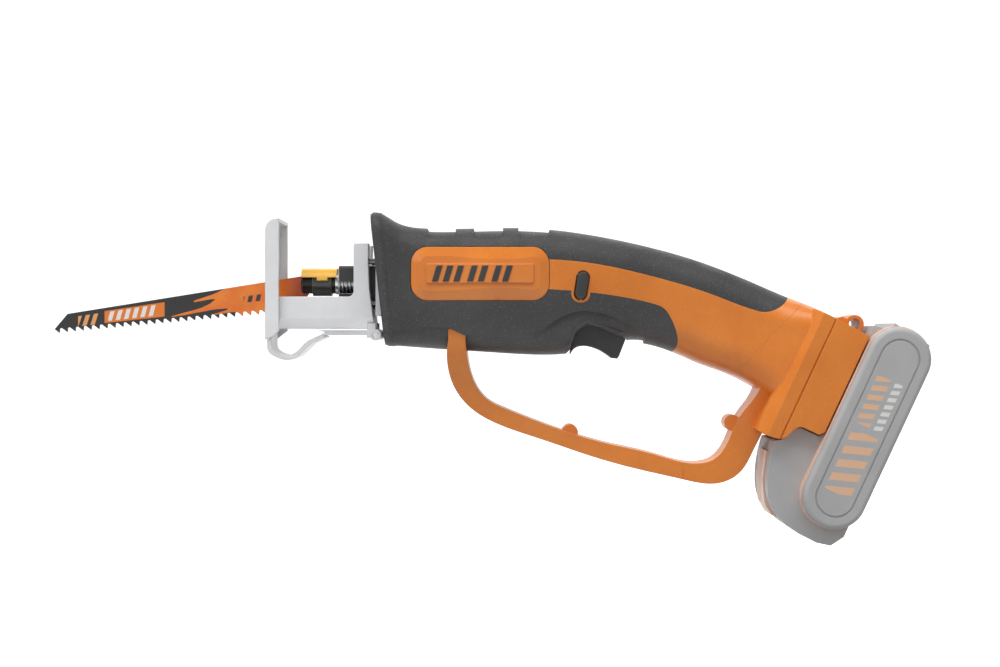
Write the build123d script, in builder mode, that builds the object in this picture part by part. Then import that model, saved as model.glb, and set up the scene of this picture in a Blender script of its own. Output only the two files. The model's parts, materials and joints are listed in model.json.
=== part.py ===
"""Cordless reciprocating saw, built as separate pieces.

Millimetres. The stroke runs along X through the origin, the blade points along -X and +Z is up.
The origin is where the stroke axis meets the front face of the blade clamp, with the blade drawn back.
"""

import math
import os

from build123d import *

os.makedirs("parts", exist_ok=True)

# ---- driving dimensions ----
STROKE = 15.0
CRANK_R = STROKE / 2
OVERMOULD = 2.2  # soft grip thickness
WALL = 2.4  # hard shell behind the grip
GAP = 0.3  # between moving neighbours
SPINDLE_R = 6.0
REAR_TILT = 25.0  # degrees the battery face leans from the vertical
BATTERY_TOP = Vector(294.2, 0, -28.4)  # top corner of the face the battery slides on
GEAR_X = 68.0  # crank gear's vertical axis
GEAR_TEETH, PINION_TEETH, MODULE = 36, 9, 1.0
CRANK_PIN_X = GEAR_X + CRANK_R
MOTOR_R, MOTOR_X0, MOTOR_X1 = 18.0, 91.5, 137.0
SHOE_PIVOT = (40.0, -27.4)  # x, z of the shoe's hinge pin


def save(piece, name):
    """Labels a finished piece and writes its STEP file."""
    piece.label = name
    export_step(piece, f"parts/{name}.step")


def section_plane(top, bottom):
    """A plane whose local y runs from bottom to top, both (x, z) points on the centre plane."""
    up = Vector(top[0] - bottom[0], 0, top[1] - bottom[1])
    origin = Vector((top[0] + bottom[0]) / 2, 0, (top[1] + bottom[1]) / 2)
    return Plane(origin=origin, x_dir=(0, 1, 0), z_dir=Vector(0, 1, 0).cross(up))


def height_of(top, bottom):
    return math.hypot(top[0] - bottom[0], top[1] - bottom[1])


def lofted(sections, inset=0.0):
    """A smooth body through rounded sections (top, bottom, half width, corner radius), shrunk by inset."""
    last = len(sections) - 1
    with BuildPart() as body:
        for i, (top, bottom, half, radius) in enumerate(sections):
            # an inset body runs past the outer one's ends, so that it cuts them cleanly
            past = inset and (i == last) - (i == 0)
            with BuildSketch(section_plane(top, bottom).offset(past)):
                RectangleRounded(
                    2 * (half - inset), height_of(top, bottom) - 2 * inset, max(radius - inset, 1.0)
                )
        loft()
    return body.part


def side_prism(outline, half=60.0):
    """A closed side-view outline, a list of edges or points, pushed through the whole width."""
    with BuildPart() as prism:
        with BuildSketch(Plane.XZ):
            with BuildLine():
                Polyline(*outline, close=True)
            make_face()
        extrude(amount=half, both=True)
    return prism.part


def rear(u, v, y=0.0):
    """A point of the rear frame: u runs down the battery face, v out of it, towards the battery."""
    a = math.radians(REAR_TILT)
    return Vector(
        BATTERY_TOP.X - u * math.sin(a) + v * math.cos(a),
        y,
        BATTERY_TOP.Z - u * math.cos(a) - v * math.sin(a),
    )


# local x = v (out), local y = -u (up the face), normal = towards -Y
REAR_PLANE = Plane(
    origin=BATTERY_TOP,
    x_dir=rear(0, 1) - BATTERY_TOP,
    z_dir=(0, -1, 0),
)


def rear_box(u0, u1, v0, v1, half, edge=0.0, y=0.0):
    """A box in the rear frame with its edges along Y rounded."""
    with BuildPart() as box:
        with BuildSketch(REAR_PLANE.offset(-y)):
            with Locations(((v0 + v1) / 2, -(u0 + u1) / 2)):
                if edge:
                    RectangleRounded(v1 - v0, u1 - u0, edge)
                else:
                    Rectangle(v1 - v0, u1 - u0)
        extrude(amount=half, both=True)
    return box.part


def round_bar(x0, x1, radius, z=0.0, y=0.0, bore=0.0):
    """A rod or tube along X."""
    with BuildPart() as bar:
        with BuildSketch(Plane.YZ.offset(x0)):
            with Locations((y, z)):
                Circle(radius)
                if bore:
                    Circle(bore, mode=Mode.SUBTRACT)
        extrude(amount=x1 - x0)
    return bar.part


def cross_bar(x, z, y0, y1, radius, bore=0.0):
    """A rod or tube along Y."""
    with BuildPart() as bar:
        with BuildSketch(Plane.XZ.offset(-y0)):
            with Locations((x, z)):
                Circle(radius)
                if bore:
                    Circle(bore, mode=Mode.SUBTRACT)
        extrude(amount=y0 - y1)
    return bar.part


def block(x0, x1, y0, y1, z0, z1, edge=0.0):
    """A box by its limits, with its long edges eased."""
    with BuildPart() as box:
        with Locations(((x0 + x1) / 2, (y0 + y1) / 2, (z0 + z1) / 2)):
            Box(x1 - x0, y1 - y0, z1 - z0)
        if edge:
            fillet(box.edges().filter_by(Axis.X), edge)
    return box.part


# ---- main body and handle ----
BODY = [
    ((37.7, 35.2), (45.6, -34.2), 30.5, 11),
    ((42.8, 35.6), (50.2, -34.6), 31.0, 11),
    ((50.3, 31.4), (55.5, -35.0), 29.3, 12.5),
    ((65.0, 28.2), (68.3, -36.0), 28.0, 15),
    ((99.5, 28.4), (101.3, -38.2), 28.5, 17),
    ((130.7, 27.6), (131.7, -39.4), 27.5, 17),
    ((157.6, 24.0), (152.0, -36.5), 24.5, 17),
    ((184.0, 18.5), (173.0, -31.6), 21.0, 16.5),
    ((207.9, 11.7), (193.6, -35.6), 20.0, 16),
    ((231.7, 2.6), (210.5, -42.8), 20.5, 16),
    ((255.5, -7.9), (233.5, -52.0), 23.5, 15),
    ((272.0, -15.2), (249.5, -64.5), 27.0, 9),
]
outer = lofted(BODY)
mid = lofted(BODY, OVERMOULD)
inner = lofted(BODY, OVERMOULD + WALL)

SEAM_TOP, SEAM_BOTTOM = (261.9, -10.6), (224.8, -49.2)


def beyond_seam(shift):
    """Everything behind the slanting joint between the handle and the rear housing."""
    (xt, zt), (xb, zb) = SEAM_TOP, SEAM_BOTTOM
    slope = (zt - zb) / (xt - xb)
    low, high = -130.0, 60.0
    return side_prism(
        [
            (xb + (low - zb) / slope + shift, low),
            (xb + (high - zb) / slope + shift, high),
            (500, high),
            (500, low),
        ]
    )


def orange_zone(grow=0.0):
    """Side-view area where the hard shell shows through the soft grip."""
    with BuildPart() as zone:
        with BuildSketch(Plane.XZ):
            with BuildLine():
                upper = Spline(
                    (126, 11.4 + grow), (152.4, 9.5 + grow), (184.1, 2.8 + grow),
                    (215.8, -6.9 + grow), (236.5, -14.6 + grow), (241.9, -15.6 + grow),
                    (248.4, -13.8 + grow), (255.7, -7.0 + grow),
                )
                Polyline(upper @ 1, (262, 2), (300, 2), (300, -75), (195.2, -75), (195.2, -36))
                lower = Spline(
                    (195.2, -36), (197.2, -31.5), (196.3, -26), (193.2, -18.4), (189.3, -13.4),
                    (184.0, -11.2), (168.2, -7.8), (152.4, -5.6), (126, -3.8),
                )
                Line(lower @ 1, upper @ 0)
            make_face()
            with Locations((147.0, -1.9)):
                SlotOverall(18.2, 9.8, rotation=81)
        extrude(amount=60, both=True)
    return zone.part


PANEL_MID = (94.4, 4.1)  # x, z of the badge panel's centre
PANEL_SIZE = (71.6, 28.0, 9.0)  # length, height, corner radius


def panel_zone(shrink=0.0, half=60.0):
    with BuildPart() as zone:
        with BuildSketch(Plane.XZ):
            with Locations(PANEL_MID):
                RectangleRounded(
                    PANEL_SIZE[0] - 2 * shrink, PANEL_SIZE[1] - 2 * shrink, PANEL_SIZE[2] - shrink * 0.8
                )
        extrude(amount=half, both=True)
    return zone.part


ARCH = [(141.5, -34.6), (144.6, -25.6), (149.8, -22.4), (159.9, -25.0), (168.4, -28.2)]
TRIGGER_HALF = 8.5


def trigger_arch(lift=0.0):
    """What is cut away below the handle for the fingers, or the same raised by lift."""
    with BuildPart() as cut:
        with BuildSketch(Plane.XZ):
            with BuildLine():
                arch = Spline(*[(x, z + lift) for x, z in ARCH])
                Polyline(
                    arch @ 1, (171, -31 + lift), (173.9, -32.4 + lift), (176.2, -29.6 + lift),
                    (176.2, -60), (137, -60), (137, -39.8 + lift), arch @ 0,
                )
            make_face()
        extrude(amount=60, both=True)
    return cut.part


def lower_zone():
    """The lower body, stepped in below a line that sweeps up to the trigger."""
    with BuildPart() as zone:
        with BuildSketch(Plane.XZ):
            with BuildLine():
                edge = Spline(
                    (86, -27.6), (108, -28.4), (124, -26.5), (134, -19.5), (146, -15.2), (168, -20.4),
                    (181, -27.5),
                )
                Polyline(
                    edge @ 1, (181, -60), (30, -60), (30, -25.2), (60, -25.2), (66, -23.6), (78, -23.6),
                    (86, -27.6),
                )
            make_face()
        extrude(amount=60, both=True)
    return zone.part


arch = trigger_arch()
behind = beyond_seam(0)
orange = orange_zone()
panel_area = panel_zone()

# finger notches along the top
NOTCHES = [(66.7, 81.7), (91.0, 106.3), (114.3, 130.7)]
thin = lofted(BODY, 1.6)
notch_zone = None
for x0, x1 in NOTCHES:
    with BuildPart() as notch:
        with Locations(((x0 + x1) / 2, 0, 32.4)):
            Box(x1 - x0, 70, 20)
        chamfer(notch.edges().filter_by(Axis.Y), 1.2)
    notch_zone = notch.part if notch_zone is None else notch_zone + notch.part

skin = (outer - mid) - arch - behind
grip = skin - orange - panel_area
grip = grip - ((outer & notch_zone) - thin)
grip = grip - ((outer & lower_zone()) - thin)
shell = ((mid - inner) - arch - behind) + ((skin & orange) - panel_area)
shell = shell - side_prism([(20, -60), (57.0, -60), (49.0, 60), (20, 60)])

# ribs that hold the motor, gearbox and switch
room = lofted(BODY, OVERMOULD + WALL - 0.3)
for x in (104.0, 128.0):
    shell = shell + ((room & block(x, x + 2.2, -40, 40, -60, 60)) - round_bar(90, 140, MOTOR_R + 0.05))
GEARBOX_ROOM = block(40, 92, -23.3, 23.3, -17.6, 15.1)
shell = shell + ((room & block(82, 84.2, -40, 40, -60, 60)) - GEARBOX_ROOM)
shell = shell + ((room & block(170, 172.2, -40, 40, -28, 60)) - block(150, 190, -8.55, 8.55, -29, 9.05))
# the soft wall over the fingers, with the trigger's slot
shell = shell - trigger_arch(OVERMOULD)
grip = grip + (mid & (trigger_arch(OVERMOULD) - arch))
TRIGGER_SLOT = block(141.2, 172.0, -TRIGGER_HALF - 0.35, TRIGGER_HALF + 0.35, -60, -11.5)
shell = shell - TRIGGER_SLOT
grip = grip - TRIGGER_SLOT

# screw posts; each screw enters from the right and bites in the left half
BODY_POSTS = [(57.5, 19.6), (63.0, -26.6), (116.0, -27.6), (161.0, 14.0), (208.0, -9.0)]
REAR_POSTS = [(243.0, -30.0), (245.3, -75.3)]
GUARD_POSTS = [(83.4, -46.0), (141.5, -78.6), (226.6, -73.5)]
HEAD_Y, HEAD_H, TIP_Y, GUARD_TIP_Y = 6.0, 2.4, -11.0, -5.0
for x, z in BODY_POSTS:
    shell = shell + (room & cross_bar(x, z, -40, 40, 3.8))


def screw_hole(x, z, tip=TIP_Y):
    """The counterbored hole of one housing screw."""
    head_room = cross_bar(x, z, HEAD_Y, 45, 3.0)
    return head_room + cross_bar(x, z, 0, HEAD_Y + 1, 1.65) + cross_bar(x, z, tip - 0.5, 0, 1.5)


for x, z in BODY_POSTS:
    shell = shell - screw_hole(x, z)
    grip = grip - screw_hole(x, z)

# ---- guard outline ----
def guard_band():
    """The D guard's closed band in side view, cut to its width in front view."""
    with BuildPart() as band:
        with BuildSketch(Plane.XZ):
            with BuildLine():
                outside = Spline(
                    (78.0, -30), (77.4, -42), (81.3, -55.5), (90.8, -66.8), (103.2, -73.9), (126.7, -82.2),
                    (150.2, -90.2), (174, -97), (201, -103.2), (214.5, -105.4), (222.5, -104.2),
                    (230.5, -99.2), (237.5, -87.5), (245.5, -72), (256, -50),
                )
                inside = Spline(
                    (241, -52.5), (237, -61), (229.8, -70.5), (224, -83.5), (216.5, -92.6), (208.2, -94.7),
                    (185.7, -90), (162.2, -84.6), (126.7, -73.6), (107.9, -66.2), (97.5, -60.6),
                    (91.3, -52), (88.2, -42), (86.9, -30),
                )
                Line(outside @ 1, inside @ 0)
                Polyline(inside @ 1, (86.9, -24.3), (78.0, -24.3), outside @ 0)
            make_face()
        extrude(amount=40, both=True)
        with BuildSketch(Plane.YZ.offset(60)):
            with BuildLine():
                flank = Spline((26.5, -20), (23, -38), (15.5, -55), (11.5, -70), (10.5, -90), (10.5, -112))
                Polyline(flank @ 1, (-10.5, -112))
                other = Spline(
                    (-10.5, -112), (-10.5, -90), (-11.5, -70), (-15.5, -55), (-23, -38), (-26.5, -20)
                )
                Line(other @ 1, flank @ 0)
            make_face()
        extrude(amount=220, mode=Mode.INTERSECT)
    return band.part


# slots through both walls for the lock-off button, and the socket the guard's front end plugs into
band = guard_band()
BUTTON_AT = (146.9, -1.9)
BUTTON_TILT = 81
with BuildPart() as button_hole:
    with BuildSketch(Plane.XZ):
        with Locations(BUTTON_AT):
            SlotOverall(15.4, 7.0, rotation=BUTTON_TILT)
    extrude(amount=60, both=True)

shell = shell - button_hole.part - band
grip = grip - button_hole.part - band


def halves(whole, name):
    """Splits a piece on the centre plane and saves its left and right halves."""
    left = split(whole, bisect_by=Plane.XZ, keep=Keep.TOP)
    right = split(whole, bisect_by=Plane.XZ, keep=Keep.BOTTOM)
    save(left, f"left_{name}")
    save(right, f"right_{name}")


halves(grip, "grip_overmould")
halves(shell, "housing")


# ---- badge panels: a pillow on each side, with a raised pad ----
def panel_block(size, centre, start, rise, taper_angle):
    """A rounded block from the centre out to start, then drawn in at taper_angle over rise."""
    parts = []
    for side in (1, -1):
        with BuildPart() as pillow:
            with BuildSketch(Plane.XZ.offset(side * start)) as face:
                with Locations(centre):
                    RectangleRounded(*size)
            extrude(face.sketch, amount=side * rise, taper=taper_angle)
            extrude(face.sketch, amount=-side * 10)
        parts.append(pillow.part)
    return parts


PAD_SIZE = (56.2, 10.8, 1.5)
pillow_face = lofted(BODY, -1.6)
pad_face = lofted(BODY, -2.4)
rim = (PANEL_SIZE[0] - 0.5, PANEL_SIZE[1] - 0.5, PANEL_SIZE[2] - 0.3)
for name, pillow, pad in zip(
    ("left_badge_panel", "right_badge_panel"),
    panel_block(rim, PANEL_MID, 27.9, 2.8, 71),
    panel_block(PAD_SIZE, PANEL_MID, 27.9, 4.0, 12),
):
    panel = ((pillow & pillow_face) + (pad & pad_face)) - mid
    save(panel, name)

# ---- rear housing and guard ----
GUARD_SPLIT_X = 201.2


def guard_boss(x, z, radius, half=7.0):
    """A screw boss standing on the guard's inner edge."""
    return cross_bar(x, z, -half, half, radius)


U_AXIS = rear(1, 0) - BATTERY_TOP
V_AXIS = rear(0, 1) - BATTERY_TOP


def seat_block(profile, u0, u1):
    """A (v, y) outline pushed along the battery face from u0 to u1."""
    with BuildPart() as seat:
        with BuildSketch(Plane(origin=rear(u0, 0), x_dir=V_AXIS, z_dir=U_AXIS)):
            with BuildLine():
                Polyline(*profile, close=True)
            make_face()
        extrude(amount=u1 - u0)
    return seat.part


SEAT_HALF = 30.5
with BuildPart() as seat_shape:
    add(seat_block(
        [(-31.6, -20), (-30.6, -25), (-26.0, -SEAT_HALF), (-19.7, -SEAT_HALF), (-19.1, -SEAT_HALF + 0.9),
         (-18.5, -SEAT_HALF), (0, -SEAT_HALF), (0, SEAT_HALF), (-18.5, SEAT_HALF), (-19.1, SEAT_HALF - 0.9),
         (-19.7, SEAT_HALF), (-26.0, SEAT_HALF), (-30.6, 25), (-31.6, 20)], -1.5, 68))
    with BuildSketch(REAR_PLANE):
        with BuildLine():
            Polyline((-31.5, -69), (-31.5, 1.6), (-25.5, 1.6), (0, 0.5), (0, -54), (-2, -56.5), (-11, -56.5))
            heel = Spline((-11, -56.5), (-14.5, -59.0), (-17.5, -65.5), (-22, -67.5), (-31.5, -67.5))
            Line(heel @ 1, (-31.5, -69))
        make_face()
    extrude(amount=40, both=True, mode=Mode.INTERSECT)

HANG_AT = (289.9, -21.8)
HANG_R, HANG_BORE, HANG_HALF = 4.8, 3.0, 13.0
hang_eye = cross_bar(*HANG_AT, -HANG_HALF, HANG_HALF, HANG_R)
hang_foot = side_prism(
    [(278.3, -19.6), (283.3, -17.9), (289.3, -20), (292.3, -27.5), (283, -31), (276, -25)], HANG_HALF
)
front_part = side_prism([(0, 60), (GUARD_SPLIT_X, 60), (GUARD_SPLIT_X - 0.6, -130), (0, -130)])
rear_outer = (outer & behind) + seat_shape.part + hang_eye + hang_foot + (band - front_part)
rear_outer = rear_outer + guard_boss(*GUARD_POSTS[2], 4.2)

PORT_HALF = 20.0  # the battery neck's port
port = rear_box(3, 90, -13.8, 1, PORT_HALF)
rails = [
    rear_box(10, 54, -5.6, -3.0, 1.3, y=side * (PORT_HALF - 1.1)) for side in (-1, 1)
]
cavity = rear_box(6, 58, -28.5, -17, 22, 3) + (inner & behind)
wire_way = rear_box(18, 34, -19, -13, 10)
rear_whole = rear_outer - cavity - wire_way - port - cross_bar(*HANG_AT, -14, 14, HANG_BORE)
rear_whole = rear_whole + (rear_outer & cross_bar(*REAR_POSTS[0], -40, 40, 3.8))
for x, z in REAR_POSTS:
    rear_whole = rear_whole - screw_hole(x, z)
rear_whole = rear_whole - screw_hole(*GUARD_POSTS[2], GUARD_TIP_Y)
for rail in rails:
    rear_whole = rear_whole + rail
halves(rear_whole, "rear_housing")

guard_front = (band & front_part) + guard_boss(*GUARD_POSTS[0], 4.0) + guard_boss(*GUARD_POSTS[1], 4.2)
for x, z in GUARD_POSTS[:2]:
    guard_front = guard_front - screw_hole(x, z, GUARD_TIP_Y)
halves(guard_front, "guard_bar")

# ---- lock-off button: one piece right through the handle ----
with BuildPart() as button:
    with BuildSketch(Plane.XZ.offset(-27.6)):
        with Locations(BUTTON_AT):
            SlotOverall(14.6, 6.2, rotation=BUTTON_TILT)
    extrude(amount=55.2)
    fillet(button.faces().sort_by(Axis.Y)[0].edges() + button.faces().sort_by(Axis.Y)[-1].edges(), 1.4)
save(button.part, "lock_off_button")

# ---- housing screws ----
with BuildPart() as screws:
    for x, z in BODY_POSTS + REAR_POSTS + GUARD_POSTS:
        add(cross_bar(x, z, HEAD_Y, HEAD_Y + HEAD_H, 2.8))
        add(cross_bar(x, z, GUARD_TIP_Y if (x, z) in GUARD_POSTS else TIP_Y, HEAD_Y, 1.45))
        add(cross_bar(x, z, HEAD_Y + HEAD_H - 1.2, HEAD_Y + HEAD_H, 1.3), mode=Mode.SUBTRACT)
save(screws.part, "housing_screws")

# ---- trigger ----
with BuildPart() as trigger:
    with BuildSketch(Plane.XZ):
        with BuildLine():
            finger = Spline((141.6, -37.6), (145.3, -33.7), (151.6, -33.6), (158.7, -36.4), (163.2, -39.6))
            Polyline(finger @ 1, (166.2, -39.9), (167.2, -38.4), (170.6, -29.6), (169.5, -24.8), (158.0, -20.0),
                     (146.5, -17.4), (143.4, -20.6), (143.2, -27.0), finger @ 0)
        make_face()
    extrude(amount=TRIGGER_HALF, both=True)
save(trigger.part, "trigger")

# ---- spindle, blade and clamp, which move together ----
YOKE_HALF = (7.8, 14.0)  # half length along X and half width along Y
SLOT_HALF = (4.75, 11.2)
SPINDLE_FLAT_X, SPINDLE_FLAT_Z = 30.5, -3.0  # the flat that stops the spindle turning


def spindle_bore(x0, x1, radius):
    """A ring round the spindle whose bore has the spindle's flat."""
    with BuildPart() as ring:
        add(round_bar(x0, x1, radius))
        with BuildSketch(Plane.YZ.offset(x0)):
            Circle(SPINDLE_R + 0.04)
            with Locations((0, SPINDLE_FLAT_Z - 0.05 - 5)):
                Rectangle(20, 10, mode=Mode.SUBTRACT)
        extrude(amount=x1 - x0, mode=Mode.SUBTRACT)
    return ring.part


with BuildPart() as spindle:
    add(round_bar(18.0, CRANK_PIN_X - YOKE_HALF[0] + 1, SPINDLE_R))
    add(block(SPINDLE_FLAT_X, 90, -9, 9, -9, SPINDLE_FLAT_Z), mode=Mode.SUBTRACT)
    add(block(CRANK_PIN_X - YOKE_HALF[0], CRANK_PIN_X + YOKE_HALF[0], -YOKE_HALF[1], YOKE_HALF[1], -3, 3))
    with BuildSketch(Plane.XY.offset(-10)):
        with Locations((CRANK_PIN_X, 0)):
            SlotOverall(2 * SLOT_HALF[1], 2 * SLOT_HALF[0], rotation=90)
    extrude(amount=20, mode=Mode.SUBTRACT)
save(spindle.part, "spindle")

BLADE_T = 1.25
PITCH = 4.233  # six teeth to the inch
TOOTH_DEPTH = 2.5
TIP, TIP_TOP, HEEL_TOP = (-130.8, -24.4), (-123.9, -16.3), (0.0, 3.6)
TEETH_FROM, TEETH_TO = (-128.2, -26.4), (-10.2, -15.7)


def tooth_points():
    """Points of the toothed edge from the tip back: each tooth's point, then its gullet behind it."""
    dx, dz = TEETH_TO[0] - TEETH_FROM[0], TEETH_TO[1] - TEETH_FROM[1]
    length = math.hypot(dx, dz)
    ux, uz = dx / length, dz / length
    points = []
    for i in range(int(length / PITCH)):
        at = i * PITCH
        points.append((TEETH_FROM[0] + ux * at, TEETH_FROM[1] + uz * at))
        for along, deep in ((0.10, 0.86), (0.24, 1.0), (0.40, 0.92)):
            reach = at + along * PITCH
            points.append((
                TEETH_FROM[0] + ux * reach - uz * deep * TOOTH_DEPTH,
                TEETH_FROM[1] + uz * reach + ux * deep * TOOTH_DEPTH,
            ))
    return points


with BuildPart() as blade:
    with BuildSketch(Plane.XZ):
        with BuildLine():
            Polyline(
                TIP, TIP_TOP, HEEL_TOP, (4.0, 3.6), (4.0, 3.2), (15.5, 3.2), (15.5, -5.2), (4.0, -5.2),
                (0.6, -10.5), (-2.0, -15.0), TEETH_TO, *reversed(tooth_points()), close=True,
            )
        make_face()
        with Locations((9.5, -1.0)):
            Circle(2.2, mode=Mode.SUBTRACT)
    extrude(amount=BLADE_T / 2, both=True)
save(blade.part, "saw_blade")

CLAMP_R = 5.6
with BuildPart() as clamp:
    add(round_bar(0.0, 18.0, CLAMP_R))
    chamfer(clamp.faces().sort_by(Axis.X)[0].edges(), 0.8)
    add(block(-1, 15.6, -BLADE_T / 2 - 0.02, BLADE_T / 2 + 0.02, -9, 8), mode=Mode.SUBTRACT)
    add(cross_bar(9.5, -1.0, -10, 1.2, 2.05), mode=Mode.SUBTRACT)
save(clamp.part, "blade_clamp")
save(cross_bar(9.5, -1.0, -4.6, 1.0, 2.05), "clamp_pin")

LEVER_X = (6.0, 16.0)  # the dark ring
SADDLE_X, NECK_X, SADDLE_R = (0.2, 18.8), (8.5, 14.0), 7.7


def saddle_part(limits, low):
    """The part of the coloured sleeve between two x limits that stands above low."""
    return round_bar(*limits, SADDLE_R) & block(*limits, -10, 10, low, 10)


with BuildPart() as lever:
    add(round_bar(*LEVER_X, 6.9))
    add(saddle_part(SADDLE_X, 2.8))
    add(saddle_part(NECK_X, 1.1))
    add(round_bar(-1, 24, CLAMP_R + 0.15), mode=Mode.SUBTRACT)
    add(round_bar(17.9, 24, SPINDLE_R + 0.15), mode=Mode.SUBTRACT)
save(lever.part, "clamp_lever")

SPRING_X = (19.0, 29.0)
SPRING_R, WIRE_R = 7.3, 0.65
with BuildPart() as coil:
    with BuildLine():
        turns = Helix(1.9, SPRING_X[1] - SPRING_X[0] - 1.4, SPRING_R, center=(SPRING_X[0] + 0.7, 0, 0),
                      direction=(1, 0, 0))
    with BuildSketch(Plane(origin=turns @ 0, z_dir=turns % 0)):
        Circle(WIRE_R)
    sweep()
save(coil.part, "clamp_spring")

# ---- gearbox ----
GEAR_TOP = -MODULE * PINION_TEETH / 2  # pitch plane of the face gear
GEAR_R_IN, GEAR_R_OUT = 16.3, 20.6
TOOTH_UP, TOOTH_DOWN = 0.75, 1.15
ROOT_Z = GEAR_TOP - TOOTH_DOWN
AXLE_R = 4.2


def face_tooth():
    """One radial tooth of the face gear, at angle 0."""
    with BuildPart() as tooth:
        for r in (GEAR_R_IN, GEAR_R_OUT):
            with BuildSketch(Plane.YZ.offset(r)):
                Polygon(
                    (-0.78, ROOT_Z - 0.5), (0.78, ROOT_Z - 0.5), (0.78, ROOT_Z), (0.36, GEAR_TOP + TOOTH_UP),
                    (-0.36, GEAR_TOP + TOOTH_UP), (-0.78, ROOT_Z), align=None,
                )
        loft(ruled=True)
    return tooth.part


with BuildPart() as crank_gear:
    with BuildSketch(Plane.XY.offset(-13.0)):
        Circle(GEAR_R_OUT)
    extrude(amount=13.0 + ROOT_Z)
    with PolarLocations(0, GEAR_TEETH, start_angle=180 / GEAR_TEETH):
        add(face_tooth())
    with BuildSketch(Plane.XY.offset(-14.0)):
        Circle(AXLE_R + 0.03)
    extrude(amount=20, mode=Mode.SUBTRACT)
    with BuildSketch(Plane.XY.offset(-13.0)):
        with PolarLocations(10.5, 5, start_angle=36):
            Circle(2.2)
    extrude(amount=20, mode=Mode.SUBTRACT)
    with BuildSketch(Plane.XY.offset(-13.0)):
        with Locations((CRANK_R, 0)):
            Circle(3.0)
    extrude(amount=13.0 + 3.4)
save(crank_gear.part.moved(Location((GEAR_X, 0, 0))), "crank_gear")


def pinion_profile():
    """Points round the pinion, four to a tooth."""
    points = []
    pitch_r = MODULE * PINION_TEETH / 2
    for i in range(PINION_TEETH):
        a = 2 * math.pi * i / PINION_TEETH - math.pi / 2
        for r, half in ((pitch_r - 1.0, 0.20), (pitch_r, 0.135), (pitch_r + 0.75, 0.055)):
            points.append((r * math.cos(a - half), r * math.sin(a - half)))
        for r, half in ((pitch_r + 0.75, 0.055), (pitch_r, 0.135), (pitch_r - 1.0, 0.20)):
            points.append((r * math.cos(a + half), r * math.sin(a + half)))
    return points


PINION_X = (84.6, 88.4)
with BuildPart() as pinion:
    with BuildSketch(Plane.YZ.offset(PINION_X[0])):
        with BuildLine():
            Polyline(*pinion_profile(), close=True)
        make_face()
        Circle(1.585, mode=Mode.SUBTRACT)
    extrude(amount=PINION_X[1] - PINION_X[0])
save(pinion.part, "motor_pinion")

BRACKET_SCREWS = [(y, z) for y in (-12.4, 12.4) for z in (-11.0, 11.0)]
with BuildPart() as gearbox:
    with BuildSketch(Plane.XY.offset(-17.5)):
        with Locations((GEAR_X, 0)):
            Circle(22.8)
        with Locations((50, 0)):
            Rectangle(20, 34)
        with Locations((88.5, 0)):
            Rectangle(5, 30)
    extrude(amount=32.5)
    with BuildSketch(Plane.XY.offset(-15.0)):
        with Locations((GEAR_X, 0)):
            Circle(21.2)
    extrude(amount=27.5, mode=Mode.SUBTRACT)
    add(block(GEAR_X, 95, -12, 12, -6.5, 12.5), mode=Mode.SUBTRACT)
    add(block(48.0, GEAR_X, -15, 15, -4.5, 12.5), mode=Mode.SUBTRACT)
    add(round_bar(30, 60, 9.02), mode=Mode.SUBTRACT)
    with BuildSketch(Plane.XY.offset(-15.0)):
        with Locations((GEAR_X, 0)):
            Circle(AXLE_R)
    extrude(amount=9.0)
whole_case = gearbox.part
for y, z in BRACKET_SCREWS:
    whole_case = whole_case - round_bar(39, 49, 1.45, z=z, y=y)
with BuildPart() as lid_cut:
    add(block(20, 120, -40, 40, 0, 40))
save(whole_case - lid_cut.part, "gearbox_case")
save(whole_case & lid_cut.part, "gearbox_cover")
save(spindle_bore(40.3, 46.7, 9.0), "spindle_bush")

with BuildPart() as nose:
    add(block(20.2, 40.0, -9.5, 9.5, -13.0, 8.8, edge=1.8))
    add(round_bar(18, 31, 8.4), mode=Mode.SUBTRACT)
    add(round_bar(18, 41, 7.6), mode=Mode.SUBTRACT)
    add(block(20.2, 30, -12, 12, -5.6, 0.5), mode=Mode.SUBTRACT)
save(nose.part, "nose_guide")
save(spindle_bore(34.0, 39.6, 7.6), "spindle_seal")

# ---- motor ----
with BuildPart() as can:
    add(round_bar(MOTOR_X0, MOTOR_X1, MOTOR_R, bore=MOTOR_R - 1.6))
    add(round_bar(MOTOR_X0, MOTOR_X0 + 1.6, MOTOR_R - 1.6, bore=5.0))
    add(round_bar(MOTOR_X0 - 1.3, MOTOR_X0 + 1.6, 5.2, bore=4.0))
save(can.part, "motor_can")
with BuildPart() as magnets:
    add(round_bar(98, 124, MOTOR_R - 1.65, bore=12.6))
    add(block(90, 140, -30, 30, -3.2, 3.2), mode=Mode.SUBTRACT)
save(magnets.part, "motor_magnets")
save(round_bar(MOTOR_X0 - 1.0, MOTOR_X0 + 1.4, 4.0, bore=1.64), "motor_front_bearing")
with BuildPart() as end_cap:
    add(round_bar(MOTOR_X1 - 3.0, MOTOR_X1 + 0.2, MOTOR_R - 1.65, bore=4.0))
    add(round_bar(MOTOR_X1 + 0.2, MOTOR_X1 + 1.2, 7.0, bore=4.0))
    with Locations((MOTOR_X1 - 1.4, 0, 11.5), (MOTOR_X1 - 1.4, 0, -11.5)):
        Box(5, 8, 4, mode=Mode.SUBTRACT)
save(end_cap.part, "motor_end_cap")
save(round_bar(MOTOR_X1 - 2.6, MOTOR_X1 + 1.0, 4.0, bore=1.64), "motor_rear_bearing")
with BuildPart() as brushes:
    for z0, z1 in ((5.0, 13.5), (-13.5, -5.0)):
        add(block(MOTOR_X1 - 7.6, MOTOR_X1 - 3.2, -2.5, 2.5, z0, z1))
save(brushes.part, "motor_brushes")
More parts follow.
